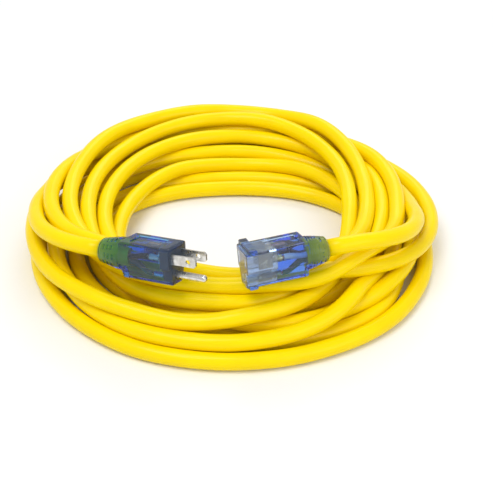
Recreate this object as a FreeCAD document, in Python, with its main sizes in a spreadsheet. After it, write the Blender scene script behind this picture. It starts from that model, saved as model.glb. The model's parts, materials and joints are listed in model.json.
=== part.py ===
import FreeCAD, Part
import Sketcher
import math
import os

V = FreeCAD.Vector

# Extension cord: a loosely wound coil of heavy round cord, with its moulded plug and its moulded
# connector lying on top of the coil. Millimetres, +Z up, the coil rests on z = 0, and the origin is
# the centre of its footprint. The plug and the connector are each modelled in a frame of their own:
# origin midway between the blades (or slots) on the face, +X out of the face, +Z away from ground.

doc = FreeCAD.newDocument("extension_cord")
sheet = doc.addObject("Spreadsheet::Sheet", "Sizes")

SIZES = {
    # cord
    "cordDia": 11.4, "conductorDia": 3.9, "strandDia": 2.3, "conductorOffset": 2.4,
    # coil of cord: rings of turns stacked on each other, each one shifted to the back left
    "coilRings": 4, "ringStep": 9.4, "ringRound": 4.8, "ringOuter": 132.5,
    "shiftAcross": 15.0, "shiftBack": 13.0, "holeLow": 69.0, "holeHigh": 92.0,
    # where the plug and the connector lie on the coil
    "plugAcross": -34.8, "plugBack": -106.8, "plugHeight": 65.0,
    "plugYaw": -28.0, "plugPitch": -8.5, "plugRoll": -13.0,
    "sockAcross": 5.8, "sockBack": -105.3, "sockHeight": 61.0,
    "sockYaw": -162.0, "sockPitch": 1.5, "sockRoll": 12.0,
    # blades and pin of the 15 A, 125 V pattern
    "bladePitch": 12.7, "bladeWidth": 6.35, "bladeThick": 1.52, "bladeLength": 17.5,
    "bladeHoleAt": 11.9, "bladeHoleDia": 3.18, "bladeChamfer": 1.3,
    "pinDrop": 11.89, "pinDia": 4.76, "pinLength": 20.9, "pinNose": 2.0, "rootDia": 4.2, "tailInside": 8.5,
    # crimp barrels behind the blades, the pin and the contacts
    "barrelDia": 4.4, "barrelLength": 7.0, "bareStrand": 1.5,
    # moulded bodies
    "plugBody": 38.0, "plugRelief": 18.5, "sockBody": 42.0, "sockRelief": 14.5, "bodyWidth": 22.0,
    "bodyTop": 7.4, "stepDrop": 7.0, "bodyBottom": 18.0, "keelWidth": 18.0, "keelFoot": 12.0,
    "bodyRound": 1.6,
    "plugJacket": 32.5, "sockJacket": 41.0, "reliefRoot": 11.0, "reliefEnd": 7.9, "cordDrop": 4.0,
    "slotLong": 1.3, "slotWide": 4.5, "slotDeep": 1.8, "slotPitch": 3.4,
    "grooveWide": 1.2, "grooveDeep": 0.7,
    # insert that holds the blades
    "insertBack": 7.0, "insertFront": 1.4, "insertWidth": 18.2, "insertTop": 5.2, "insertStep": 6.4,
    "insertBottom": 15.6, "insertFoot": 9.8,
    # connector: collar, carrier of the contacts, slots and contacts
    "bandBack": 7.2, "bandFront": 1.6, "bandTop": 2.4, "bandFoot": 1.3,
    "carrierLength": 20.0, "carrierWidth": 18.4, "carrierTop": 5.6,
    "carrierStep": 6.4, "carrierBottom": 16.0, "carrierFoot": 10.0,
    "slotOpening": 2.0, "lineSlotTall": 6.9, "neutralSlotTall": 8.3, "groundHoleDia": 5.2,
    "contactBack": 17.0, "contactFront": 8.0, "contactWide": 3.6, "contactTall": 9.6,
    "groundTubeDia": 7.2, "groundTubeBore": 5.6,
    # indicator lamp and its resistor
    "lampDia": 4.6, "lampLength": 9.0, "lampRise": 4.2, "resistorDia": 2.3, "resistorLength": 6.2,
    "leadDia": 0.6,
}

for row, (alias, value) in enumerate(SIZES.items(), start=1):
    sheet.set(f"A{row}", alias)
    sheet.set(f"B{row}", str(value))
    sheet.setAlias(f"B{row}", alias)
doc.recompute()

PARTS = {}


def size(alias):
    """The value of one cell of the sheet."""
    return float(getattr(sheet, alias))


def prefixed(formula):
    """A formula with each alias written as a cell of the sheet."""
    return " ".join("Sizes." + w if w in SIZES else w for w in formula.split())


def bind(item, **formulas):
    """Bind properties of an object to formulas over the sheet's aliases."""
    for prop, formula in formulas.items():
        item.setExpression(prop, prefixed(formula))


def box(name, length, width, height, x, y, z):
    """A box centred on y, from x to x + length and from z to z + height."""
    item = doc.addObject("Part::Box", name)
    bind(item, Length=length, Width=width, Height=height)
    item.setExpression(".Placement.Base.x", prefixed(x))
    item.setExpression(".Placement.Base.y", prefixed(f"{y} - ( {width} ) / 2"))
    item.setExpression(".Placement.Base.z", prefixed(z))
    return item


def rod(name, diameter, length, x, y, z):
    """A cylinder along X, from x to x + length, with its axis at y and z."""
    item = doc.addObject("Part::Cylinder", name)
    bind(item, Radius=f"( {diameter} ) / 2", Height=length)
    item.Placement = FreeCAD.Placement(V(), FreeCAD.Rotation(V(0, 1, 0), 90))
    item.setExpression(".Placement.Base.x", prefixed(x))
    item.setExpression(".Placement.Base.y", prefixed(y))
    item.setExpression(".Placement.Base.z", prefixed(z))
    return item


def fuse(name, pieces):
    """One solid from several."""
    item = doc.addObject("Part::MultiFuse", name)
    item.Shapes = pieces
    item.Refine = True
    return item


def cut(name, base, tools):
    """The base with the tools taken away."""
    item = doc.addObject("Part::Cut", name)
    item.Base = base
    item.Tool = tools[0] if len(tools) == 1 else fuse(name + "_tools", tools)
    return item


def fused_edges(name, base, edges, radius, kind="Part::Fillet"):
    """The base with the given edges rounded or bevelled."""
    item = doc.addObject(kind, name)
    item.Base = base
    item.Edges = [(number, radius, radius) for number in edges]
    return item


def pose(which):
    """Where the plug or the connector lies, from the sheet."""
    place = V(size(which + "Across"), size(which + "Back"), size(which + "Height"))
    turn = FreeCAD.Rotation(size(which + "Yaw"), size(which + "Pitch"), size(which + "Roll"))
    return FreeCAD.Placement(place, turn)


def node(name, pieces, placement=None):
    """A finished sub-part: its label names its file."""
    item = doc.addObject("Part::Compound", name)
    item.Links = pieces
    item.Label = name
    item.Placement = placement or FreeCAD.Placement()
    PARTS[name] = item
    return item


def smooth_path(points):
    """Straight runs joined by arcs, each as large as the shorter of its two runs allows."""
    edges = []
    radii = []
    start = points[0]
    for before, corner, after in zip(points, points[1:], points[2:]):
        back = (before - corner)
        ahead = (after - corner)
        turn = math.pi - back.getAngle(ahead)
        radius = 0.45 * min(back.Length, ahead.Length) / math.tan(turn / 2)
        reach = radius * math.tan(turn / 2)
        back.normalize()
        ahead.normalize()
        first = corner + back * reach
        last = corner + ahead * reach
        inward = back + ahead
        inward.normalize()
        middle = corner + inward * (radius / math.cos(turn / 2) - radius)
        edges.append(Part.LineSegment(start, first).toShape())
        edges.append(Part.Arc(first, middle, last).toShape())
        radii.append(radius)
        start = last
    edges.append(Part.LineSegment(start, points[-1]).toShape())
    return Part.Wire(edges), radii


def tube(name, points, diameter):
    """A round tube along a smooth path."""
    path, radii = smooth_path(points)
    heading = points[1] - points[0]
    section = Part.Wire([Part.Circle(points[0], heading, diameter / 2).toShape()])
    item = doc.addObject("Part::Feature", name)
    item.Shape = path.makePipeShell([section], True, False)
    ideal = math.pi * diameter ** 2 / 4 * path.Length
    print(f"{name}: length {path.Length:.1f}, volume {item.Shape.Volume / ideal:.4f} of section x length,"
          f" radii {' '.join(f'{radius:.0f}' for radius in radii)}")
    return item


# ---------------------------------------------------------------- coil of cord

def coil():
    """The outer shape of the wound cord: stacked flat rings with rounded edges."""
    rings = []
    count = int(size("coilRings"))
    for level in range(count):
        share = level / (count - 1)
        across = size("shiftAcross") * (1 - 2 * share)
        back = -size("shiftBack") * (1 - 2 * share)
        body = doc.addObject("PartDesign::Body", f"ring_{level}")
        sketch = body.newObject("Sketcher::SketchObject", f"ring_outline_{level}")
        plane = [f for f in body.Origin.OriginFeatures if f.Role == "XY_Plane"][0]
        sketch.AttachmentSupport = [(plane, "")]
        sketch.MapMode = "FlatFace"
        sketch.AttachmentOffset = FreeCAD.Placement(V(0, 0, level * size("ringStep")), FreeCAD.Rotation())
        hole = size("holeLow") + share * (size("holeHigh") - size("holeLow"))
        sketch.addGeometry(Part.Circle(V(across, back, 0), V(0, 0, 1), size("ringOuter")), False)
        sketch.addGeometry(Part.Circle(V(across / 3, back / 2, 0), V(0, 0, 1), hole), False)
        outer = sketch.addConstraint(Sketcher.Constraint("Radius", 0, size("ringOuter")))
        sketch.setExpression(f"Constraints[{outer}]", "Sizes.ringOuter")
        inner = sketch.addConstraint(Sketcher.Constraint("Radius", 1, hole))
        sketch.setExpression(f"Constraints[{inner}]",
                             f"Sizes.holeLow + {share:.4f} * (Sizes.holeHigh - Sizes.holeLow)")
        pad = body.newObject("PartDesign::Pad", f"ring_pad_{level}")
        pad.Profile = sketch
        pad.setExpression("Length", "Sizes.cordDia")
        doc.recompute()
        edges = enumerate(pad.Shape.Edges, start=1)
        rims = [f"Edge{number}" for number, edge in edges if isinstance(edge.Curve, Part.Circle)]
        rounded = body.newObject("PartDesign::Fillet", f"ring_round_{level}")
        rounded.Base = (pad, rims)
        rounded.setExpression("Radius", "Sizes.ringRound")
        body.Tip = rounded
        rings.append(body)
    node("cord_coil", [fuse("stacked_rings", rings)])


# ---------------------------------------------------------------- moulded bodies

def stepped_block(name, body):
    """The moulded block: a wide upper box over a keel that narrows downwards."""
    upper = box(name + "_upper", body, "bodyWidth", "bodyTop + stepDrop",
                f"0 - {body}", "0", "0 - stepDrop")
    keel = doc.addObject("Part::Wedge", name + "_keel")
    bind(keel, Xmin="0 - keelWidth / 2", Xmax="keelWidth / 2", Ymin="stepDrop", Ymax="bodyBottom",
         X2min="0 - keelFoot / 2", X2max="keelFoot / 2", Zmin="0", Zmax=body, Z2min="0", Z2max=body)
    turned = FreeCAD.Rotation(V(0, 1, 0), V(0, 0, -1), V(-1, 0, 0), "XYZ")
    keel.Placement = FreeCAD.Placement(V(0, 0, 0), turned)
    rounded = []
    for piece in (upper, keel):
        doc.recompute()
        edges = range(1, len(piece.Shape.Edges) + 1)
        top_ones = [i for i in edges if keeps_round(piece, piece.Shape.Edges[i - 1])]
        rounded.append(fused_edges(piece.Name + "_round", piece, top_ones, size("bodyRound")))
    return fuse(name + "_block", rounded)


def keeps_round(piece, edge):
    """Outer edges are rounded, and the edges where the upper box meets the keel are not."""
    middle = edge.CenterOfMass
    keel = piece.Name.endswith("_keel")
    return not (keel and abs(middle.z + size("stepDrop")) < 0.01)


def strain_relief(name, body, relief):
    """The tapered relief behind the block, with ring steps at its root and staggered slots."""
    cone = doc.addObject("Part::Cone", name + "_cone")
    bind(cone, Radius1="reliefRoot", Radius2="reliefEnd", Height=f"{relief} + 0.5")
    cone.Placement = FreeCAD.Placement(V(0, 0, 0), FreeCAD.Rotation(V(0, 1, 0), -90))
    cone.setExpression(".Placement.Base.x", prefixed(f"0.5 - {body}"))
    cone.setExpression(".Placement.Base.z", prefixed("0 - cordDrop"))
    tools = []
    start = -size(body)
    for ring in range(2):
        groove = doc.addObject("Part::Torus", f"{name}_groove_{ring}")
        bind(groove, Radius1=f"reliefRoot - {0.25 * ring:.2f}", Radius2="grooveDeep")
        along = start - size("grooveWide") * (1.6 + 2.2 * ring)
        across = FreeCAD.Rotation(V(0, 1, 0), 90)
        groove.Placement = FreeCAD.Placement(V(along, 0, -size("cordDrop")), across)
        tools.append(groove)
    lines = int((size(relief) - 8.0) / size("slotPitch"))
    for line in range(lines):
        for side in range(4):
            tools.append(slot(name, start, size(relief), line, side))
    return cut(name + "_relief", cone, tools)


def slot(name, start, length, line, side):
    """One transverse slot of the relief; neighbouring sides are staggered by half a pitch."""
    item = doc.addObject("Part::Box", f"{name}_slot_{line}_{side}")
    bind(item, Length="slotLong", Width="slotWide", Height="slotDeep + 4")
    stagger = 0.5 * (side % 2)
    along = start - 7.0 - size("slotPitch") * (line + stagger)
    taper = (size("reliefRoot") - size("reliefEnd")) / length
    skin = size("reliefRoot") + taper * (along - start)
    turn = FreeCAD.Rotation(V(1, 0, 0), 90 * side)
    corner = V(along, -size("slotWide") / 2, skin - size("slotDeep"))
    centre = V(0, 0, -size("cordDrop"))
    item.Placement = FreeCAD.Placement(centre + turn.multVec(corner), turn)
    return item


def jacket_end(name, body, relief, depth):
    """The end of the cord's jacket, held in the relief."""
    return rod(name, "cordDia", f"{body} + {relief} - {depth}", f"0 - {body} - {relief}", "0",
               "0 - cordDrop")


def conductor_routes(jacket, barrel):
    """Routes of the three insulated conductors, from the jacket's end to behind the barrels."""
    drop = size("cordDrop")
    off = size("conductorOffset")
    half = size("bladePitch") / 2
    ends = {"line": ((-0.9, 0.5), (-half, 0.0)), "neutral": ((0.9, 0.5), (half, 0.0)),
            "ground": ((0.0, -1.0), (0.0, -size("pinDrop")))}
    routes = {}
    for pole, ((y0, z0), (y1, z1)) in ends.items():
        inner = V(jacket, off * y0, -drop + off * z0)
        outer = V(barrel, y1, z1)
        routes[pole] = [inner, V(jacket + 4.0, off * y0, -drop + off * z0), V(barrel - 3.5, y1, z1), outer]
    return routes


def wiring(which, placement, back_of_barrel, jacket):
    """Conductors, their bared strands and the indicator lamp, as separate pieces."""
    local = []
    for pole, route in conductor_routes(jacket, back_of_barrel - size("bareStrand")).items():
        insulation = tube(f"{which}_{pole}_insulation", route, size("conductorDia"))
        strands = rod(f"{which}_{pole}_strand_end", "strandDia", "barrelLength + bareStrand - 1",
                      f"{route[-1].x:.4f}", f"{route[-1].y:.4f}", f"{route[-1].z:.4f}")
        node(f"{which}_{pole}_conductor", [insulation], placement)
        node(f"{which}_{pole}_strands", [strands], placement)
        local += [insulation, strands]
    local += lamp_set(which, placement, back_of_barrel)
    return local


def lamp_set(which, placement, back_of_barrel):
    """The indicator lamp, its resistor and its leads, between the line and neutral barrels."""
    front = back_of_barrel + 4.0
    rise = size("lampRise")
    tail = front - size("lampLength")
    bulb = rod(f"{which}_bulb", "lampDia", "lampLength", f"{tail:.4f}", "0", "lampRise")
    resistor = rod(f"{which}_res", "resistorDia", "resistorLength",
                   f"{tail + 1.0:.4f}", "0 - 0.0", "0 - pinDrop / 2 + 3")
    side = size("bladePitch") / 2
    top = size("barrelDia") / 2
    lead = size("leadDia")
    to_line = tube(f"{which}_lead_line",
                   [V(front, -0.8, rise), V(front + 2.0, -1.4, rise - 0.2),
                    V(front + 2.6, -side, top + 1.6), V(front + 2.4, -side, top - 0.02)], lead)
    node(f"{which}_lamp", [bulb], placement)
    node(f"{which}_resistor", [resistor], placement)
    low = -size("pinDrop") / 2 + 3
    to_neutral = tube(f"{which}_lead_neutral",
                      [V(tail + 1.0 + size("resistorLength"), 0, low), V(front + 1.6, 0.6, low + 0.2),
                       V(front + 2.4, side - 2.2, 0.6)], lead)
    bridge = tube(f"{which}_lead_bridge",
                  [V(tail, 0, rise), V(tail - 1.6, 0.2, rise - 0.6), V(tail - 1.5, -0.2, low + 0.8),
                   V(tail + 1.0, 0, low)], lead)
    node(f"{which}_lamp_leads", [to_line, to_neutral, bridge], placement)
    return [bulb, resistor, to_line, to_neutral, bridge]


# ---------------------------------------------------------------- plug

def blade(name, side):
    """A flat blade with bevelled tip corners, a hole near its tip and a crimp barrel behind."""
    flat = box(name + "_flat", "bladeLength + tailInside", "bladeThick", "bladeWidth",
               "0 - tailInside", f"{side} * bladePitch / 2", "0 - bladeWidth / 2")
    doc.recompute()
    tip = size("bladeLength")
    corners = [i for i, e in enumerate(flat.Shape.Edges, start=1)
               if abs(e.CenterOfMass.x - tip) < 0.01 and e.Length < 1.01 * size("bladeThick")]
    bevelled = fused_edges(name + "_bevel", flat, corners, size("bladeChamfer"), "Part::Chamfer")
    hole = doc.addObject("Part::Cylinder", name + "_hole")
    bind(hole, Radius="bladeHoleDia / 2", Height="4 * bladeThick")
    hole.Placement = FreeCAD.Placement(V(0, 0, 0), FreeCAD.Rotation(V(1, 0, 0), 90))
    hole.setExpression(".Placement.Base.x", "Sizes.bladeHoleAt")
    hole.setExpression(".Placement.Base.y", prefixed(f"{side} * bladePitch / 2 + 2 * bladeThick"))
    barrel = rod(name + "_barrel", "barrelDia", "barrelLength", "0 - tailInside - barrelLength + 0.5",
                 f"{side} * bladePitch / 2", "0")
    return fuse(name + "_whole", [cut(name + "_drilled", bevelled, [hole]), barrel])


def ground_pin(name):
    """The round pin with a bevelled nose and a crimp barrel behind."""
    root = rod(name + "_root", "rootDia", "tailInside + 0.5", "0 - tailInside", "0", "0 - pinDrop")
    shank = rod(name + "_shank", "pinDia", "pinLength", "0", "0", "0 - pinDrop")
    doc.recompute()
    nose = [i for i, e in enumerate(shank.Shape.Edges, start=1)
            if isinstance(e.Curve, Part.Circle) and abs(e.CenterOfMass.x - size("pinLength")) < 0.01]
    rounded = fused_edges(name + "_nose", shank, nose, size("pinNose"))
    barrel = rod(name + "_barrel", "barrelDia", "barrelLength", "0 - tailInside - barrelLength + 0.5",
                 "0", "0 - pinDrop")
    return fuse(name + "_whole", [rounded, root, barrel])


def plug():
    """The plug: blades and pin in an insert, wired to the cord, moulded in one body."""
    place = pose("plug")
    back_of_barrel = -size("tailInside") - size("barrelLength") + 0.5
    metal = {"line_blade": blade("line", -1), "neutral_blade": blade("neutral", 1),
             "ground_pin": ground_pin("pin")}
    wires = wiring("plug", place, back_of_barrel, -size("plugJacket"))
    strands = [w for w in wires if w.Name.endswith("_strand_end")]
    for name, item in metal.items():
        metal[name] = cut(name + "_crimped", item, strands)
        node(name, [metal[name]], place)
    upper = box("insert_upper", "insertBack - insertFront", "insertWidth", "insertTop + insertStep",
                "0 - insertBack", "0", "0 - insertStep")
    foot = box("insert_lower", "insertBack - insertFront", "insertFoot", "insertBottom", "0 - insertBack",
               "0", "0 - insertBottom")
    block = fuse("insert_block", [upper, foot])
    insert = cut("insert_pierced", block, list(metal.values()))
    node("plug_insert", [insert], place)
    jacket = jacket_end("plug_jacket", "plugBody", "plugRelief", "plugJacket")
    node("plug_jacket_end", [jacket], place)
    relief = strain_relief("plug", "plugBody", "plugRelief")
    outer = fuse("plug_outer", [stepped_block("plug", "plugBody"), relief])
    inside = list(metal.values()) + wires + [insert, jacket]
    node("plug_overmould", [cut("plug_moulding", outer, inside)], place)


# ---------------------------------------------------------------- connector

def contact(name, side):
    """A folded brass contact, two leaves on a web with a crimp barrel behind, and the room it takes."""
    shell = box(name + "_shell", "contactBack - contactFront", "contactWide", "contactTall",
                "0 - contactBack", f"{side} * bladePitch / 2", "0 - contactTall / 2")
    gap = box(name + "_gap", "contactBack - contactFront", "bladeThick", "contactTall + 1",
              "1.2 - contactBack", f"{side} * bladePitch / 2", "0 - contactTall / 2 - 0.5")
    barrel = rod(name + "_barrel", "barrelDia", "barrelLength", "0 - contactBack - barrelLength + 0.5",
                 f"{side} * bladePitch / 2", "0")
    return fuse(name + "_whole", [cut(name + "_leaves", shell, [gap]), barrel]), shell


def ground_contact(name):
    """The ground contact, a brass tube with a crimp barrel behind, and the room it takes."""
    shell = rod(name + "_shell", "groundTubeDia", "contactBack - contactFront", "0 - contactBack",
                "0", "0 - pinDrop")
    hollow = rod(name + "_hollow", "groundTubeBore", "contactBack - contactFront", "1.2 - contactBack",
                 "0", "0 - pinDrop")
    barrel = rod(name + "_barrel", "barrelDia", "barrelLength", "0 - contactBack - barrelLength + 0.5",
                 "0", "0 - pinDrop")
    return fuse(name + "_whole", [cut(name + "_tube", shell, [hollow]), barrel]), shell


def bands(name):
    """The raised bands across the top and the foot of the body, just behind the face."""
    top = box(name + "_top", "bandBack - bandFront", "bodyWidth", "bandTop + 2", "0 - bandBack", "0",
              "bodyTop - 2")
    foot = box(name + "_foot", "bandBack - bandFront", "keelFoot", "bandFoot + 2", "0 - bandBack",
               "0", "0 - bodyBottom - bandFoot")
    rounded = []
    for piece, radius in ((top, 0.8), (foot, 0.6)):
        doc.recompute()
        edges = range(1, len(piece.Shape.Edges) + 1)
        rounded.append(fused_edges(piece.Name + "_round", piece, edges, radius))
    return rounded


def connector():
    """The connector: contacts in a carrier, wired to the cord, moulded in one body."""
    place = pose("sock")
    back_of_barrel = -size("contactBack") - size("barrelLength") + 0.5
    # the line slot is narrow, the neutral slot is tall, as the two blades are told apart
    made = {"line_contact": contact("sock_line", 1), "neutral_contact": contact("sock_neutral", -1),
            "ground_contact": ground_contact("sock_ground")}
    rooms = [room for item, room in made.values()]
    wires = wiring("connector", place, back_of_barrel, -size("sockJacket"))
    strands = [w for w in wires if w.Name.endswith("_strand_end")]
    brass = {}
    for name, (item, room) in made.items():
        brass[name] = cut(name + "_crimped", item, strands)
        node(name, [brass[name]], place)
    upper = box("carrier_upper", "carrierLength", "carrierWidth", "carrierTop + carrierStep",
                "0 - carrierLength", "0", "0 - carrierStep")
    foot = box("carrier_lower", "carrierLength", "carrierFoot", "carrierBottom", "0 - carrierLength",
               "0", "0 - carrierBottom")
    block = fuse("carrier_block", [upper, foot])
    slots = [box("line_slot", "contactBack", "slotOpening", "lineSlotTall", "1.2 - contactBack",
                 "bladePitch / 2", "0 - lineSlotTall / 2"),
             box("neutral_slot", "contactBack", "slotOpening", "neutralSlotTall", "1.2 - contactBack",
                 "0 - bladePitch / 2", "0 - neutralSlotTall / 2"),
             rod("ground_hole", "groundHoleDia", "contactBack", "1.2 - contactBack", "0", "0 - pinDrop")]
    carrier = cut("carrier_pierced", block, slots + rooms + list(brass.values()) + wires)
    node("contact_carrier", [carrier], place)
    jacket = jacket_end("connector_jacket", "sockBody", "sockRelief", "sockJacket")
    node("connector_jacket_end", [jacket], place)
    pieces = [stepped_block("connector", "sockBody"), strain_relief("connector", "sockBody", "sockRelief")]
    pieces += bands("band")
    outer = fuse("connector_outer", pieces)
    inside = list(brass.values()) + wires + [block, jacket]
    node("connector_overmould", [cut("connector_moulding", outer, inside)], place)


# ---------------------------------------------------------------- the two free ends of the cord

EXIT_RUN = 18.0
PLUG_TAIL = [(-116.5, -60.0, 46.8), (-128.6, -44.6, 43.3), (-136.0, -27.4, 39.7), (-139.4, -9.3, 36.1),
             (-140.0, 8.3, 33.0)]
CONNECTOR_TAIL = [(94.0, -76.3, 56.6), (108.7, -65.3, 52.4), (119.6, -50.6, 47.4), (126.1, -33.5, 42.3),
                  (128.5, -15.8, 37.2), (128.2, 1.1, 31.3)]


def cord_tail(name, which, points):
    """The stretch from the relief's end to where the cord joins the coil."""
    along = -size(which + "Body") - size(which + "Relief")
    end = pose(which).multVec(V(along, 0, -size("cordDrop")))
    first = pose(which).multVec(V(along - EXIT_RUN, 0, -size("cordDrop")))
    print(f"{which} relief ends at {end.x:.2f} {end.y:.2f} {end.z:.2f}")
    node(name, [tube(name + "_tube", [end, first] + [V(*p) for p in points], size("cordDia"))])


coil()
plug()
connector()
cord_tail("plug_cord_tail", "plug", PLUG_TAIL)
cord_tail("connector_cord_tail", "sock", CONNECTOR_TAIL)
doc.recompute()

for item in doc.Objects:
    if "Invalid" in item.State or "Error" in item.State:
        raise RuntimeError(f"{item.Name} did not rebuild: {item.State}")
for name, item in PARTS.items():
    shape = item.Shape
    if shape.isNull() or not shape.isValid() or not shape.Solids:
        raise RuntimeError(f"{name} is not a valid solid")

os.makedirs("parts", exist_ok=True)
whole = FreeCAD.BoundBox()
for name, item in PARTS.items():
    item.Shape.exportStep(f"parts/{name}.step")
    whole.add(item.Shape.BoundBox)
    print(f"{name}: {len(item.Shape.Solids)} solids, {item.Shape.Volume:.0f} mm3")
print(f"{len(PARTS)} nodes, box {whole.XMin:.1f} {whole.XMax:.1f} {whole.YMin:.1f} {whole.YMax:.1f}"
      f" {whole.ZMin:.1f} {whole.ZMax:.1f}")
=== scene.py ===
import json
import math

import bmesh
import bpy
import numpy as np
from mathutils import Matrix, Vector


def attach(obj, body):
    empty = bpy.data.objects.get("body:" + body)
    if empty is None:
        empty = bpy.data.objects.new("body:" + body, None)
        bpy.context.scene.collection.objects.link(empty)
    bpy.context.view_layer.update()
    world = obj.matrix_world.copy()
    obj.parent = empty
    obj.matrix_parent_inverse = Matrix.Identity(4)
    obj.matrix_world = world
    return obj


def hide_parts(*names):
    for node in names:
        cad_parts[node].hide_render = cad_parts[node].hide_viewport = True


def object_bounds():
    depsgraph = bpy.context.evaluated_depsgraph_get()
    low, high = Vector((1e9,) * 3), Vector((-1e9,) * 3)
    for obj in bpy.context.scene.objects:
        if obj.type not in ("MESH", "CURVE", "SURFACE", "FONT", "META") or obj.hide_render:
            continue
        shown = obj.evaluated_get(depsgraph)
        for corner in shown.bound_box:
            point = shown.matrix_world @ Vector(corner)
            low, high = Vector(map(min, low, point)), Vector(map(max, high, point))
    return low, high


# The looks of the coiled extension cord. Metres, in the row's frame: the cord lies on z = 0, and the
# plug and the connector lie on the front of the coil, facing each other.

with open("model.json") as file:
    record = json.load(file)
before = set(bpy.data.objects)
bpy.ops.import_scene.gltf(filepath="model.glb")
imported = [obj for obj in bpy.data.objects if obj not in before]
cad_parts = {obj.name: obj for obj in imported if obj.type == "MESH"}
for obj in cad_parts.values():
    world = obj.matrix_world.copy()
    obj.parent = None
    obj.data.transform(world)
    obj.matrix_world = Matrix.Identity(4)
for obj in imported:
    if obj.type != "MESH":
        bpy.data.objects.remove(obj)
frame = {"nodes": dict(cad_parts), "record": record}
SIZE_AT_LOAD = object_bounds()
MM = 0.001
MOUNTS = {m["name"]: m for m in frame["record"]["mounts"]}

# The camera: what it looks at in millimetres, its height, and how many coil widths away it stands
LOOK_AT = (0.0, -15.3, 17.1)
CAMERA_RISE = math.radians(34)
CAMERA_WIDTHS_AWAY = 2.82
CAMERA_LENS = 85.3
CAMERA_SHIFT = (0.0274, -0.0172)

# The moulded ends, in millimetres in their own frame: +X out of the face, +Z away from the ground pin
RELIEF_LENGTH = {"plug": 18.5, "connector": 14.5}
BODY_LENGTH = {"plug": 38.0, "connector": 42.0}
BODY_HALF = 11.0
BODY_TOP = 7.4
BODY_STEP = 7.0
BODY_BOTTOM = 18.0
KEEL_HALF = 9.0
FOOT_HALF = 6.2
RELIEF_ROOT = 11.0
RELIEF_END = 7.9
CORD_DROP = 4.0
EXIT_RUN = 18.0

# The relief's grooves and slots, and the sunken panel on a body's top
RING_PITCH = 1.9
RING_COUNT = {"plug": 1, "connector": 3}
END_COLLAR = 2.4
SLOT_START = {"plug": 5.2, "connector": 7.6}
SLOT_ROWS = {"plug": 3, "connector": 2}
SLOTS_ROUND = 10
SLOT_PITCH = 3.3
SLOT_SIZES = (1.1, 2.9, 2.4)
PANEL_WIDTH = 13.0
PANEL_DEPTH = 0.8

# The capsule that the cord keeps out of round a moulded end
CAPSULE_MIDDLE = (-28, 0, -5)
CAPSULE_HALF = 29 * MM
CAPSULE_RADIUS = 12.5 * MM

# The cord: its width, how far apart its points lie, and the slow twist of the conductors under its skin
CORD = 11.4 * MM
POINT_STEP = 5 * MM
TWIST_LENGTH = 150 * MM
TWIST_LOBE = 0.06 * MM
SKIN_INSET = 0.03 * MM
PLUG_TAIL = [(-116.5, -60.0, 46.8), (-128.6, -44.6, 43.3), (-136.0, -27.4, 39.7), (-139.4, -9.3, 36.1),
             (-140.0, 8.3, 33.0)]
CONNECTOR_TAIL = [(94.0, -76.3, 56.6), (108.7, -65.3, 52.4), (119.6, -50.6, 47.4), (126.1, -33.5, 42.3),
                  (128.5, -15.8, 37.2), (128.2, 1.1, 31.3)]

# How the coil lies: each row is a turn, with its reach from the middle and its height at the right,
# back, left and front, in cord diameters. The turns settle when they are pushed apart below.
TURNS = [
    ((11.3, 2.9), (11.9, 0.6), (12.3, 0.6), (12.1, 0.5)),
    ((12.1, 0.9), (10.0, 0.5), (11.1, 0.5), (10.8, 0.5)),
    ((10.6, 0.5), (7.5, 0.5), (9.9, 0.5), (9.5, 0.5)),
    ((9.2, 0.5), (6.2, 0.5), (8.7, 0.5), (8.2, 0.7)),
    ((8.5, 1.4), (8.4, 1.4), (7.2, 1.9), (9.6, 1.3)),
    ((11.2, 1.3), (9.3, 2.0), (11.1, 1.6), (11.3, 1.4)),
    ((10.1, 1.8), (10.3, 2.7), (8.1, 2.8), (8.7, 2.1)),
    ((9.4, 3.0), (12.3, 2.2), (12.6, 2.3), (10.2, 2.0)),
    ((7.3, 3.2), (11.4, 3.1), (9.1, 3.3), (9.2, 2.6)),
    ((8.4, 3.2), (12.6, 3.4), (10.2, 3.7), (8.5, 3.1)),
    ((10.5, 3.2), (11.6, 2.7), (11.4, 3.9), (7.5, 3.3)),
    ((12.5, 2.3), (12.4, 1.5), (12.2, 2.9)),
]
FIRST_ANGLE = 0.05
LAST_ANGLE = (len(TURNS) - 1) * 2 * math.pi + math.radians(174.5)

# How the turns settle: rounds, the share of each bend and each stray taken out in a round, and the sinking
SETTLE_ROUNDS = 400
EVEN_PASSES = 24
EVEN_SHARE = 0.06
HOLD_SHARE = 0.02
SINK = 0.03 * MM


# ---------------------------------------------------------------- camera

def camera():
    """A long lens at the photograph's height, looking down on the front of the coil."""
    low, high = SIZE_AT_LOAD
    target = Vector(LOOK_AT) * MM
    away = CAMERA_WIDTHS_AWAY * (high.x - low.x)
    data = bpy.data.cameras.new("camera")
    data.sensor_width = 36.0
    data.lens = CAMERA_LENS
    data.shift_x, data.shift_y = CAMERA_SHIFT
    data.clip_start = 0.01
    item = bpy.data.objects.new("camera", data)
    item.location = target + away * Vector((0.0, -math.cos(CAMERA_RISE), math.sin(CAMERA_RISE)))
    item.rotation_euler = (target - item.location).to_track_quat("-Z", "Y").to_euler()
    bpy.context.collection.objects.link(item)
    bpy.context.scene.camera = item


def area_light(name, place, width, power, colour=(1.0, 1.0, 1.0)):
    """A square soft light aimed at the coil."""
    data = bpy.data.lights.new(name, "AREA")
    data.size = width
    data.energy = power
    data.color = colour
    item = bpy.data.objects.new(name, data)
    item.location = place
    item.rotation_euler = (Vector((0, 0, 0.02)) - Vector(place)).to_track_quat("-Z", "Y").to_euler()
    bpy.context.collection.objects.link(item)


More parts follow.
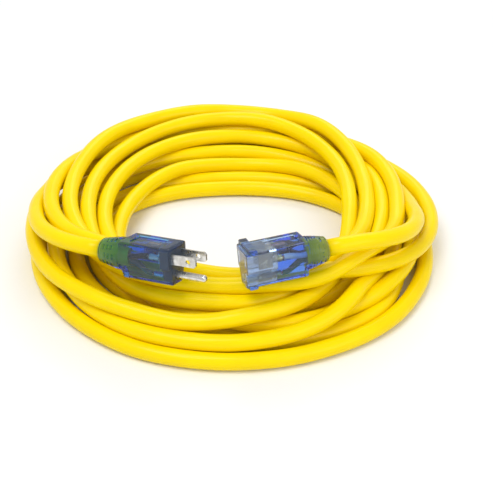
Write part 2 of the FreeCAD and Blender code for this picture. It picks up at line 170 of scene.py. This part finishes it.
def surroundings():
    """Pale floor, pale world and soft lamps."""
    world = bpy.data.worlds.new("studio")
    world.use_nodes = True
    world.node_tree.nodes["Background"].inputs["Color"].default_value = (1.0, 1.0, 1.0, 1.0)
    world.node_tree.nodes["Background"].inputs["Strength"].default_value = 0.64
    bpy.context.scene.world = world
    bpy.context.scene.view_settings.view_transform = "Standard"
    area_light("key", (-0.45, -0.5, 1.6), 0.9, 14.0)
    area_light("fill", (0.9, -0.9, 0.7), 0.9, 4.0)
    area_light("back", (0.2, 1.2, 1.1), 0.8, 5.0)
    side = 8.0
    mesh = bpy.data.meshes.new("floor")
    corners = [(-side, -side, 0), (side, -side, 0), (side, side, 0), (-side, side, 0)]
    mesh.from_pydata(corners, [], [(0, 1, 2, 3)])
    floor = bpy.data.objects.new("floor", mesh)
    floor.location.z = -0.0002
    floor.data.materials.append(floor_material())
    bpy.context.collection.objects.link(floor)


# ---------------------------------------------------------------- materials

class Look:
    """A procedural material around one Principled shader."""

    def __init__(self, name, **sockets):
        self.material = bpy.data.materials.new(name)
        self.material.use_nodes = True
        self.nodes = self.material.node_tree.nodes
        self.links = self.material.node_tree.links
        self.shader = self.nodes["Principled BSDF"]
        self.normal = None
        for key, value in sockets.items():
            self.shader.inputs[key.replace("_", " ")].default_value = value

    def place(self, kind="Object", stretch=(1, 1, 1), turn=(0, 0, 0)):
        """Coordinates, stretched along their axes."""
        source = self.nodes.new("ShaderNodeTexCoord")
        mapping = self.nodes.new("ShaderNodeMapping")
        mapping.inputs["Scale"].default_value = stretch
        mapping.inputs["Rotation"].default_value = turn
        self.links.new(source.outputs[kind], mapping.inputs["Vector"])
        return mapping.outputs["Vector"]

    def noise(self, scale, where=None, detail=3.0, rough=0.5, warp=0.0):
        """Noise between 0 and 1."""
        node = self.nodes.new("ShaderNodeTexNoise")
        node.inputs["Scale"].default_value = scale
        node.inputs["Detail"].default_value = detail
        node.inputs["Roughness"].default_value = rough
        node.inputs["Distortion"].default_value = warp
        self.links.new(where or self.place(), node.inputs["Vector"])
        return node.outputs["Fac"]

    def cells(self, scale, where=None):
        """Distance to the nearest of scattered points."""
        node = self.nodes.new("ShaderNodeTexVoronoi")
        node.inputs["Scale"].default_value = scale
        self.links.new(where or self.place(), node.inputs["Vector"])
        return node.outputs["Distance"]

    def ramp(self, value, *stops):
        """A colour ramp through (position, colour or grey) stops."""
        node = self.nodes.new("ShaderNodeValToRGB")
        self.links.new(value, node.inputs["Fac"])
        elements = node.color_ramp.elements
        while len(elements) < len(stops):
            elements.new(0.5)
        for element, (position, colour) in zip(elements, stops):
            element.position = position
            element.color = (*colour, 1) if isinstance(colour, tuple) else (colour, colour, colour, 1)
        return node.outputs["Color"]

    def blend(self, kind, first, second, amount=0.5):
        """Two colours mixed, multiplied and so on; the amount may be a socket."""
        node = self.nodes.new("ShaderNodeMix")
        node.data_type = "RGBA"
        node.blend_type = kind
        for key, value in ((0, amount), (6, first), (7, second)):
            if isinstance(value, bpy.types.NodeSocket):
                self.links.new(value, node.inputs[key])
            else:
                node.inputs[key].default_value = (*value, 1) if isinstance(value, tuple) else value
        return node.outputs[2]

    def link(self, **sockets):
        """Drives sockets of the shader, such as Base_Color, with outputs of other nodes."""
        for key, value in sockets.items():
            self.links.new(value, self.shader.inputs[key.replace("_", " ")])

    def bump(self, height, depth, strength=1.0):
        """Raises the surface by the height, scaled to depth in metres; bumps add up."""
        node = self.nodes.new("ShaderNodeBump")
        node.inputs["Strength"].default_value = strength
        node.inputs["Distance"].default_value = depth
        self.links.new(height, node.inputs["Height"])
        if self.normal is not None:
            self.links.new(self.normal, node.inputs["Normal"])
        self.normal = node.outputs["Normal"]
        self.links.new(self.normal, self.shader.inputs["Normal"])


def floor_material():
    """Pale matt board with faint clouds and a fine grain."""
    look = Look("pale_floor", Roughness=0.55)
    look.link(Base_Color=look.ramp(look.noise(9.0, detail=4.0), (0.3, 0.87), (0.7, 0.90)))
    look.bump(look.noise(700.0), 0.0002, 0.2)
    return look.material


def jacket_material(kind="UV"):
    """Bright yellow PVC, glossy, with fine lines left by extrusion and a faint waviness."""
    look = Look("cord_jacket", Roughness=0.36, Specular_IOR_Level=0.10, Coat_Weight=0.10,
                Coat_Roughness=0.12)
    if kind == "UV":
        along = look.place("UV", (60.0, 1.2, 1.0))
        patches = look.place("UV", (1.0, 3.0, 1.0))
    else:
        along = look.place("Object", (900.0, 900.0, 60.0))
        patches = look.place("Object", (12.0, 12.0, 12.0))
    streaks = look.noise(1.0, along, 4.0, 0.6)
    blotches = look.noise(1.5, patches, 3.0)
    colour = look.ramp(blotches, (0.3, (0.93, 0.68, 0.0)), (0.7, (0.97, 0.735, 0.0)))
    shade = look.ramp(streaks, (0.25, (0.95, 0.94, 0.9)), (0.6, 1.0))
    colour = look.blend("MULTIPLY", colour, shade, 1.0)
    specks = look.ramp(look.cells(260.0), (0.035, 0.72), (0.06, 1.0))
    colour = look.blend("MULTIPLY", colour, specks, 0.5)
    look.link(Base_Color=colour, Roughness=look.ramp(streaks, (0.2, 0.36), (0.8, 0.24)))
    look.bump(streaks, 0.00005, 0.5)
    look.bump(look.noise(55.0, detail=2.0), 0.0006, 0.25)
    look.bump(look.noise(1800.0, detail=2.0), 0.00002, 0.4)
    return look.material


def clear_material(name, tint, density, haze, roughness):
    """Clear moulded PVC that deepens with thickness, with faint flow marks and orange peel."""
    look = Look(name, Roughness=roughness, IOR=1.4, Transmission_Weight=0.96)
    flow = look.noise(70.0, look.place("Object", (1.0, 1.0, 2.2)), 4.0, 0.55, 1.2)
    pale = tuple(1 - 0.35 * (1 - c) for c in haze)
    look.link(Base_Color=look.ramp(flow, (0.3, haze), (0.7, pale)))
    smear = look.noise(160.0, detail=3.0)
    look.link(Roughness=look.ramp(smear, (0.3, roughness * 0.7), (0.75, roughness * 1.6)))
    look.bump(look.noise(420.0, detail=2.0), 0.00012, 0.25)
    look.bump(look.noise(2400.0, detail=1.0), 0.00002, 0.3)
    body = look.nodes.new("ShaderNodeVolumeAbsorption")
    body.inputs["Color"].default_value = (*tint, 1)
    body.inputs["Density"].default_value = density
    look.links.new(body.outputs["Volume"], look.nodes["Material Output"].inputs["Volume"])
    return look.material


def plastic_material(name, colour, roughness=0.4, spread=0.12, transmission=0.0):
    """Moulded or extruded plastic: slight colour variation, fine texture and small scuffs."""
    look = Look(name, Roughness=roughness, Transmission_Weight=transmission, IOR=1.46)
    dark = tuple(c * (1 - spread) for c in colour)
    light = tuple(min(1.0, c * (1 + spread) + 0.01 * spread) for c in colour)
    tone = look.ramp(look.noise(140.0, detail=4.0), (0.3, dark), (0.7, light))
    scuffs = look.noise(320.0, look.place("Object", (1.0, 6.0, 1.0), (0.4, 0.2, 0.6)), 2.0)
    scuffs = look.ramp(scuffs, (0.62, 0.0), (0.72, 0.35))
    look.link(Base_Color=look.blend("MIX", tone, light, scuffs))
    dull = min(1.0, roughness * 1.3)
    look.link(Roughness=look.ramp(look.noise(500.0), (0.3, roughness * 0.8), (0.7, dull)))
    look.bump(look.noise(2000.0, detail=2.0), 0.00003, 0.4)
    return look.material


def metal_material(name, colour, dull, roughness=0.22):
    """Plated or stamped metal: rolling grain, scratches and duller patches."""
    look = Look(name, Metallic=1.0, Roughness=roughness)
    grain = look.place("Object", (1.0, 14.0, 1.0), (0.0, 0.0, math.radians(-28)))
    grain_lines = look.noise(900.0, grain, 3.0, 0.6)
    patches = look.noise(220.0, detail=4.0)
    look.link(Base_Color=look.ramp(patches, (0.32, dull), (0.62, colour)))
    rough = look.ramp(patches, (0.3, roughness * 1.9), (0.65, roughness * 0.8))
    look.link(Roughness=look.blend("MULTIPLY", rough, look.ramp(grain_lines, (0.2, 0.8), (0.8, 1.2)), 0.6))
    look.bump(grain_lines, 0.00003, 0.35)
    scratches = look.ramp(look.noise(260.0, look.place("Object", (0.4, 24.0, 0.4), (0.7, 0.1, 0.3)), 1.0),
                          (0.60, 0.0), (0.63, 1.0))
    look.bump(scratches, 0.00002, 0.3)
    return look.material


def strand_material():
    """Bare copper strands, twisted, with painted shade darkening the grooves between the strands."""
    look = Look("copper_strands", Metallic=1.0, Roughness=0.3)
    twist = look.nodes.new("ShaderNodeTexWave")
    twist.inputs["Scale"].default_value = 700.0
    twist.inputs["Distortion"].default_value = 1.0
    look.links.new(look.place("Object", (1, 1, 1), (0.3, 0.2, 0.9)), twist.inputs["Vector"])
    # Painted shade: the dark end of this ramp darkens the grooves between the twisted strands, where the
    # bump sinks.
    copper = look.ramp(twist.outputs["Fac"], (0.1, (0.35, 0.13, 0.06)), (0.6, (0.86, 0.42, 0.24)))
    look.link(Base_Color=copper)
    look.bump(twist.outputs["Fac"], 0.0002, 0.8)
    return look.material


def resistor_material():
    """Tan lacquer with colour bands along the body."""
    look = Look("resistor_lacquer", Roughness=0.35, Coat_Weight=0.4)
    bands = look.nodes.new("ShaderNodeTexWave")
    bands.inputs["Scale"].default_value = 190.0
    look.links.new(look.place("Object", (1, 1, 1), (0.0, 0.0, math.radians(28))), bands.inputs["Vector"])
    stripes = look.ramp(bands.outputs["Fac"], (0.80, 0.0), (0.86, 1.0))
    tone = look.ramp(look.noise(500.0), (0.3, (0.46, 0.32, 0.17)), (0.7, (0.62, 0.46, 0.27)))
    look.link(Base_Color=look.blend("MIX", tone, (0.25, 0.06, 0.02), stripes))
    look.bump(look.noise(900.0), 0.00004, 0.4)
    return look.material


# ---------------------------------------------------------------- where the two moulded ends lie

def end_pose(face, ground, ground_along):
    """The matrix of a moulded end, from the middle of its face and its ground pin or socket."""
    axis = Vector(MOUNTS[face]["axis"]).normalized()
    origin = Vector(MOUNTS[face]["pos_m"])
    up = (origin + ground_along * axis - Vector(MOUNTS[ground]["pos_m"])).normalized()
    across = up.cross(axis)
    turn = Matrix((axis, across, up)).transposed().to_4x4()
    return Matrix.Translation(origin) @ turn


POSES = {"plug": end_pose("plug_blades", "ground_pin", 8 * MM),
         "connector": end_pose("connector_slots", "ground_socket", -3 * MM)}


def in_row(which, x, y, z):
    """A point of an end's own frame, given in millimetres, in the row's frame."""
    return POSES[which] @ Vector((x * MM, y * MM, z * MM))


# ---------------------------------------------------------------- cord

def exits(which):
    """Where the cord leaves the relief, and the end of its straight run."""
    back = -BODY_LENGTH[which] - RELIEF_LENGTH[which]
    return [in_row(which, back, 0, -CORD_DROP), in_row(which, back - EXIT_RUN, 0, -CORD_DROP)]


def divided(points):
    """Points along straight runs, about a step apart."""
    out = []
    for a, b in zip(points, points[1:]):
        count = max(1, int((b - a).length / POINT_STEP))
        out += [a + (b - a) * (k / count) for k in range(count)]
    return out + [points[-1]]


def wound_turns():
    """The coil's turns as drawn: reach and height run smoothly through the table's sides."""
    sides = [side for turn in TURNS for side in turn]
    knots = np.array(sides) * CORD
    knots = np.vstack([2 * knots[0] - knots[1], knots, 2 * knots[-1] - knots[-2]])
    angle = FIRST_ANGLE
    out = []
    while angle < LAST_ANGLE:
        quarter = min(int(angle / (math.pi / 2)), len(knots) - 4)
        f = angle / (math.pi / 2) - quarter
        a, b, c, d = knots[quarter:quarter + 4]
        reach, height = 0.5 * (2 * b + (c - a) * f + (2 * a - 5 * b + 4 * c - d) * f ** 2
                               + (3 * b - a - 3 * c + d) * f ** 3)
        out.append((reach * math.cos(angle), reach * math.sin(angle), max(height, CORD / 2)))
        angle += POINT_STEP / reach
    return np.array(out)


def evened(points, fixed, home):
    """Evens out the bends, leaving the fixed points where they are."""
    for _ in range(EVEN_PASSES):
        lap = np.zeros_like(points)
        lap[1:-1] = points[:-2] - 2 * points[1:-1] + points[2:]
        bend = np.zeros_like(points)
        bend[1:-1] = lap[:-2] - 2 * lap[1:-1] + lap[2:]
        bend[:2] = 0
        bend[-2:] = 0
        points = points - EVEN_SHARE * bend
        points[fixed] = home[fixed]
    return points


def near_pairs(points, reach):
    """Pairs of points that are near each other and not neighbours along the cord."""
    square = np.sum(points ** 2, 1)
    gaps = square[:, None] + square[None, :] - 2 * points @ points.T
    order = np.arange(len(points))
    near = (gaps < reach ** 2) & (np.abs(order[:, None] - order[None, :]) > 6)
    return np.nonzero(np.triu(near))


def settled(home, fixed):
    """Pushes the turns apart to a cord's width, off the floor and off the moulded ends, under weight."""
    points = home.copy()
    for count in range(SETTLE_ROUNDS):
        points = evened(points, fixed, home)
        points = points + HOLD_SHARE * (home - points) * np.array([1, 1, 0.3])
        points[:, 2] -= SINK
        if count % 8 == 0:
            first, second = near_pairs(points, 1.35 * CORD)
        for _ in range(2):
            apart = points[second] - points[first]
            gap = np.linalg.norm(apart, axis=1) + 1e-9
            push = apart / gap[:, None] * (0.3 * np.clip(1.005 * CORD - gap, 0, None))[:, None]
            moves = np.zeros_like(points)
            np.add.at(moves, second, push)
            np.add.at(moves, first, -push)
            points = points + 0.7 * moves
            for which in POSES:
                points = off_body(points, which)
            points[:, 2] = np.maximum(points[:, 2], CORD / 2)
        points[fixed] = home[fixed]
    return points


def off_body(points, which):
    """Keeps the cord out of a capsule round a moulded end."""
    middle = np.array(in_row(which, *CAPSULE_MIDDLE))
    axis = np.array(POSES[which].to_3x3().col[0])
    rel = points - middle
    along = np.clip(rel @ axis, -CAPSULE_HALF, CAPSULE_HALF)
    off = rel - along[:, None] * axis
    gap = np.linalg.norm(off, axis=1) + 1e-9
    inside = np.clip(CAPSULE_RADIUS + CORD / 2 - gap, 0, None)
    return points + off / gap[:, None] * (0.8 * inside)[:, None]


def route_points():
    """The whole cord from the connector's relief to the plug's, as control points."""
    near = exits("connector") + [Vector(p) * MM for p in CONNECTOR_TAIL]
    far = [Vector(p) * MM for p in reversed(PLUG_TAIL)] + list(reversed(exits("plug")))
    first = np.array(divided(near))
    last = np.array(divided(far))
    home = np.vstack([first, wound_turns(), last])
    fixed = np.zeros(len(home), bool)
    fixed[:len(first) - 1] = True
    fixed[-len(last) + 1:] = True
    points = settled(home, fixed)
    wound = points[len(first):len(home) - len(last)]
    return near + [Vector(p) for p in wound[1:-1:2]] + far


def nurbs_line(points):
    """The points of a smooth line through the control points."""
    data = bpy.data.curves.new("cord_route", "CURVE")
    data.dimensions = "3D"
    spline = data.splines.new("NURBS")
    spline.points.add(len(points) - 1)
    for point, place in zip(spline.points, points):
        point.co = (*place, 1.0)
    spline.order_u = 3
    spline.use_endpoint_u = True
    spline.resolution_u = 3
    item = bpy.data.objects.new("cord_route", data)
    bpy.context.collection.objects.link(item)
    bpy.context.view_layer.update()
    mesh = bpy.data.meshes.new_from_object(item.evaluated_get(bpy.context.evaluated_depsgraph_get()))
    line = [v.co.copy() for v in mesh.vertices]
    bpy.data.objects.remove(item)
    bpy.data.meshes.remove(mesh)
    return line


def cord_tube(line, sides=24):
    """A round jacket along the line; the three conductors inside show as a slow, faint twist."""
    bm = bmesh.new()
    uv = bm.loops.layers.uv.new("UVMap")
    heading = (line[1] - line[0]).normalized()
    side = heading.orthogonal().normalized()
    rings = []
    run = 0.0
    runs = []
    for k, place in enumerate(line):
        ahead = line[min(k + 1, len(line) - 1)] - line[max(k - 1, 0)]
        ahead.normalize()
        side = (side - side.project(ahead)).normalized()
        other = ahead.cross(side)
        if k:
            run += (place - line[k - 1]).length
        twist = 2 * math.pi * run / TWIST_LENGTH
        ring = []
        for j in range(sides):
            turn = 2 * math.pi * j / sides
            radius = CORD / 2 - SKIN_INSET + TWIST_LOBE * math.cos(3 * (turn - twist))
            ring.append(bm.verts.new(place + radius * (math.cos(turn) * side + math.sin(turn) * other)))
        rings.append(ring)
        runs.append(run)
    for k in range(len(rings) - 1):
        for j in range(sides):
            after = (j + 1) % sides
            face = bm.faces.new((rings[k][j], rings[k][after], rings[k + 1][after], rings[k + 1][j]))
            face.smooth = True
            for loop, (u, v) in zip(face.loops, ((j, k), (j + 1, k), (j + 1, k + 1), (j, k + 1))):
                loop[uv].uv = (u / sides, runs[v] / 0.1)
    bm.faces.new(list(reversed(rings[0])))
    bm.faces.new(rings[-1])
    bmesh.ops.recalc_face_normals(bm, faces=bm.faces)
    mesh = bpy.data.meshes.new("cord")
    bm.to_mesh(mesh)
    bm.free()
    item = bpy.data.objects.new("cord", mesh)
    bpy.context.collection.objects.link(item)
    return item, run


# ---------------------------------------------------------------- moulded bodies

def corner_rounded(corners, count=5, between=3):
    """An outline with each corner (y, z, round) eased by a curve, always with the same number of points."""
    out = []
    total = len(corners)
    for k, (y, z, ease) in enumerate(corners):
        here = Vector((y, z))
        before = Vector(corners[k - 1][:2]) - here
        after = Vector(corners[(k + 1) % total][:2]) - here
        into = here + before.normalized() * min(ease, 0.45 * before.length)
        onto = here + after.normalized() * min(ease, 0.45 * after.length)
        for j in range(count):
            t = j / (count - 1)
            out.append((1 - t) ** 2 * into + 2 * t * (1 - t) * here + t ** 2 * onto)
        nxt = corners[(k + 1) % total]
        there = Vector(nxt[:2])
        back = here - there
        start = out[-1]
        stop = there + back.normalized() * min(nxt[2], 0.45 * back.length)
        out += [start.lerp(stop, (j + 1) / (between + 1)) for j in range(between)]
    return out


def block_outline(grow=0.0, band_top=0.0, band_foot=0.0, ease=1.6):
    """The stepped section of a body: a wide top over a keel that narrows, with raised bands."""
    wide = BODY_HALF + grow
    top = BODY_TOP + grow + band_top
    step = -BODY_STEP - grow * 0.4
    bottom = -BODY_BOTTOM - grow - band_foot
    right = [(wide * 0.5, top, 0.7), (wide, top, ease), (wide, step, 0.8),
             (KEEL_HALF + grow, step - 0.3, 0.5), (FOOT_HALF + grow, bottom, ease)]
    left = [(-y, z, e) for y, z, e in reversed(right)]
    return corner_rounded(right + left)


def ring_outline(radius, like):
    """A circle round the cord, its points in the same directions as another outline's."""
    out = []
    for point in like:
        off = Vector((point.x, point.y + CORD_DROP))
        out.append(Vector((0, -CORD_DROP)) + off.normalized() * radius)
    return out


def lofted(name, sections):
    """A closed shell through sections (x, outline), in millimetres in the end's own frame."""
    bm = bmesh.new()
    rings = []
    for x, outline in sections:
        rings.append([bm.verts.new((x * MM, p.x * MM, p.y * MM)) for p in outline])
    for a, b in zip(rings, rings[1:]):
        for j in range(len(a)):
            k = (j + 1) % len(a)
            bm.faces.new((a[j], a[k], b[k], b[j]))
    bm.faces.new(list(reversed(rings[0])))
    bm.faces.new(rings[-1])
    bmesh.ops.recalc_face_normals(bm, faces=bm.faces)
    mesh = bpy.data.meshes.new(name)
    bm.to_mesh(mesh)
    bm.free()
    item = bpy.data.objects.new(name, mesh)
    bpy.context.collection.objects.link(item)
    return item


def boxes_mesh(name, boxes):
    """Boxes joined in one mesh, each given by its centre, its sizes and its turn about the cord's axis."""
    bm = bmesh.new()
    for centre, sizes, turn in boxes:
        made = bmesh.ops.create_cube(bm, size=1.0)
        shape = Matrix.Diagonal((*[s * MM for s in sizes], 1))
        spin = Matrix.Rotation(turn, 4, "X")
        lift = Matrix.Translation(Vector(centre) * MM)
        pivot = Matrix.Translation((0, 0, -CORD_DROP * MM))
        bmesh.ops.transform(bm, matrix=pivot @ spin @ lift @ shape, verts=made["verts"])
    mesh = bpy.data.meshes.new(name)
    bm.to_mesh(mesh)
    bm.free()
    item = bpy.data.objects.new(name, mesh)
    bpy.context.collection.objects.link(item)
    return item


def cut_away(item, tool):
    """Takes the tool's shape away from the item and removes the tool."""
    change = item.modifiers.new("cut", "BOOLEAN")
    change.operation = "DIFFERENCE"
    change.solver = "EXACT"
    change.object = tool
    bpy.context.view_layer.update()
    mesh = bpy.data.meshes.new_from_object(item.evaluated_get(bpy.context.evaluated_depsgraph_get()))
    item.modifiers.clear()
    item.data = mesh
    bpy.data.objects.remove(tool)


def relief_radius(which, along):
    """The relief's radius at a distance behind the body."""
    share = along / RELIEF_LENGTH[which]
    return RELIEF_ROOT + (RELIEF_END - RELIEF_ROOT) * share ** 1.25


def relief_sections(which, like):
    """The tapered relief: ring steps near the body, then a smooth taper to a rounded end collar."""
    body = BODY_LENGTH[which]
    length = RELIEF_LENGTH[which]
    along = 0.5
    sections = []
    for _ in range(RING_COUNT[which]):
        for offset, dip in ((0.0, 0.45), (0.2, 0.08), (0.4, 0.0), (1.3, 0.0), (1.5, 0.08), (1.7, 0.45)):
            t = along + offset
            sections.append((-body - t, ring_outline(relief_radius(which, t) - dip, like)))
        along += RING_PITCH
    end = length - END_COLLAR
    steps = 12
    for k in range(steps):
        t = along + (end - along) * k / (steps - 1)
        ease = 0.4 * math.exp(-(t - along) / 0.3)
        sections.append((-body - t, ring_outline(relief_radius(which, t) - ease, like)))
    collar = ((end + 0.2, 0.35), (end + 0.5, 0.35), (end + 0.7, 0.0), (length - 1.2, 0.0),
              (length - 0.7, 0.25), (length - 0.3, 0.8), (length, 1.7))
    for t, dip in collar:
        sections.append((-body - t, ring_outline(relief_radius(which, t) - dip, like)))
    return sections


def relief_slots(which):
    """Short transverse slots through the relief's skin, staggered from side to side."""
    clear_of_collar = RELIEF_LENGTH[which] - END_COLLAR - 0.8
    boxes = []
    for side in range(SLOTS_ROUND):
        for row in range(SLOT_ROWS[which]):
            along = SLOT_START[which] + SLOT_PITCH * (row + 0.5 * (side % 2))
            if along < clear_of_collar:
                place = (-BODY_LENGTH[which] - along, 0, relief_radius(which, along))
                boxes.append((place, SLOT_SIZES, (side + 0.5) * 2 * math.pi / SLOTS_ROUND))
    return boxes


def finished_body(which, item, material):
    """Places a moulded body and gives it its look."""
    item.data.transform(POSES[which])
    item.data.update()
    item.data.shade_smooth()
    item.data.set_sharp_from_angle(angle=math.radians(32))
    item.data.materials.clear()
    item.data.materials.append(material)
    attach(item, "root")
    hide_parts(which + "_overmould")
    return item


def panel(middle, length):
    """The box that sinks a plain panel into a body's top."""
    place = (middle, 0, BODY_TOP + CORD_DROP)
    return [(place, (length, PANEL_WIDTH, 2 * PANEL_DEPTH), 0)]


def carrier_room():
    """The boxes of the room for the contact carrier: a wide part above and a narrow foot below."""
    gap = 0.06
    middle = -9.9
    length = 20.4
    return [[((middle, 0, -0.4 + CORD_DROP), (length, 18.4 + gap, 12.0 + gap), 0)],
            [((middle, 0, -8.0 + CORD_DROP), (length, 10.0 + gap, 16.0 + gap), 0)]]


def shoulder(which, like):
    """The last of the block, where it eases into the relief."""
    body = BODY_LENGTH[which]
    root = ring_outline(RELIEF_ROOT, like)
    out = []
    for k, share in enumerate((0.0, 0.04, 0.15, 0.5, 0.85, 1.0)):
        mixed = [p.lerp(q, share) for p, q in zip(like, root)]
        out.append((-body + 1.4 - 0.3 * k, mixed))
    return out


def plug_body():
    """The plug's clear body: bevelled face, stepped block and the relief."""
    block = BODY_LENGTH["plug"]
    plain = block_outline()
    sections = [(0.0, block_outline(-0.9)), (-0.35, block_outline(-0.25)), (-0.9, plain), (-1.0, plain)]
    sections += [(-1.2, block_outline(-0.25)), (-1.6, block_outline(-0.25)), (-1.8, plain)]
    sections += [(-1.8 - (block - 4.0) * k / 8, plain) for k in range(1, 9)]
    sections += shoulder("plug", plain) + relief_sections("plug", plain)
    item = lofted("plug_shell", sections)
    cut_away(item, boxes_mesh("plug_slots", relief_slots("plug")))
    cut_away(item, boxes_mesh("plug_panel", panel(-20.5, 22.0)))
    look = clear_material("plug_clear_blue", (0.0, 0.60, 0.92), 250.0, (0.62, 0.76, 0.90), 0.06)
    return finished_body("plug", item, look)


def connector_body():
    """The connector's clear body: bands behind its face, stepped block, and the relief."""
    block = BODY_LENGTH["connector"]
    plain = block_outline()
    band = block_outline(0.25, 2.15, 1.05, 0.8)
    sections = [(0.0, block_outline(-0.7)), (-0.3, block_outline(-0.2)), (-0.8, plain), (-1.6, plain),
                (-1.7, block_outline(0.15, 1.7, 0.8, 0.8)), (-2.1, band), (-6.7, band),
                (-7.1, block_outline(0.15, 1.7, 0.8, 0.8)), (-7.2, plain)]
    sections += [(-7.2 - (block - 9.4) * k / 8, plain) for k in range(1, 9)]
    sections += shoulder("connector", plain) + relief_sections("connector", plain)
    item = lofted("connector_shell", sections)
    cut_away(item, boxes_mesh("connector_slots", relief_slots("connector")))
    cut_away(item, boxes_mesh("connector_panel", panel(-26.5, 21.0)))
    for room in carrier_room():
        cut_away(item, boxes_mesh("carrier_room", room))
    look = clear_material("connector_clear_blue", (0.12, 0.53, 0.94), 185.0, (0.90, 0.91, 0.98), 0.05)
    return finished_body("connector", item, look)


# ---------------------------------------------------------------- CAD pieces that stay

def dress_nodes():
    """Gives each CAD piece that shows its material."""
    blades = metal_material("nickel_plate", (0.80, 0.78, 0.73), (0.52, 0.50, 0.46))
    brass = metal_material("stamped_brass", (0.86, 0.66, 0.30), (0.55, 0.38, 0.16), 0.28)
    wire = metal_material("tinned_lead", (0.75, 0.75, 0.73), (0.5, 0.5, 0.48), 0.3)
    jacket = jacket_material("Object")
    looks = {
        "plug_insert": plastic_material("plug_insert", (0.02, 0.035, 0.07), 0.35),
        "contact_carrier": plastic_material("clear_carrier", (0.98, 0.97, 0.98), 0.12, 0.02, 0.86),
        "line_blade": blades, "neutral_blade": blades, "ground_pin": blades,
        "line_contact": brass, "neutral_contact": brass, "ground_contact": brass,
        "plug_jacket_end": jacket, "connector_jacket_end": jacket,
    }
    shared = {
        "line_conductor": plastic_material("black_insulation", (0.012, 0.012, 0.014), 0.3),
        "neutral_conductor": plastic_material("white_insulation", (0.80, 0.80, 0.77), 0.3, 0.05),
        "ground_conductor": plastic_material("green_insulation", (0.02, 0.26, 0.08), 0.3),
        "line_strands": strand_material(),
        "lamp": plastic_material("lamp_glass", (0.95, 0.62, 0.52), 0.08, 0.08, 0.7),
        "resistor": resistor_material(),
        "lamp_leads": wire,
    }
    shared["neutral_strands"] = shared["ground_strands"] = shared["line_strands"]
    for name, material in shared.items():
        for which in POSES:
            looks[f"{which}_{name}"] = material
    for name, material in looks.items():
        node = frame["nodes"][name]
        node.data.materials.clear()
        node.data.materials.append(material)


# ---------------------------------------------------------------- the scene

camera()
surroundings()
line = nurbs_line(route_points())
cord, cord_length = cord_tube(line)
cord.data.materials.append(jacket_material())
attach(cord, "root")
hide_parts("cord_coil", "plug_cord_tail", "connector_cord_tail")
plug = plug_body()
connector_body()
dress_nodes()
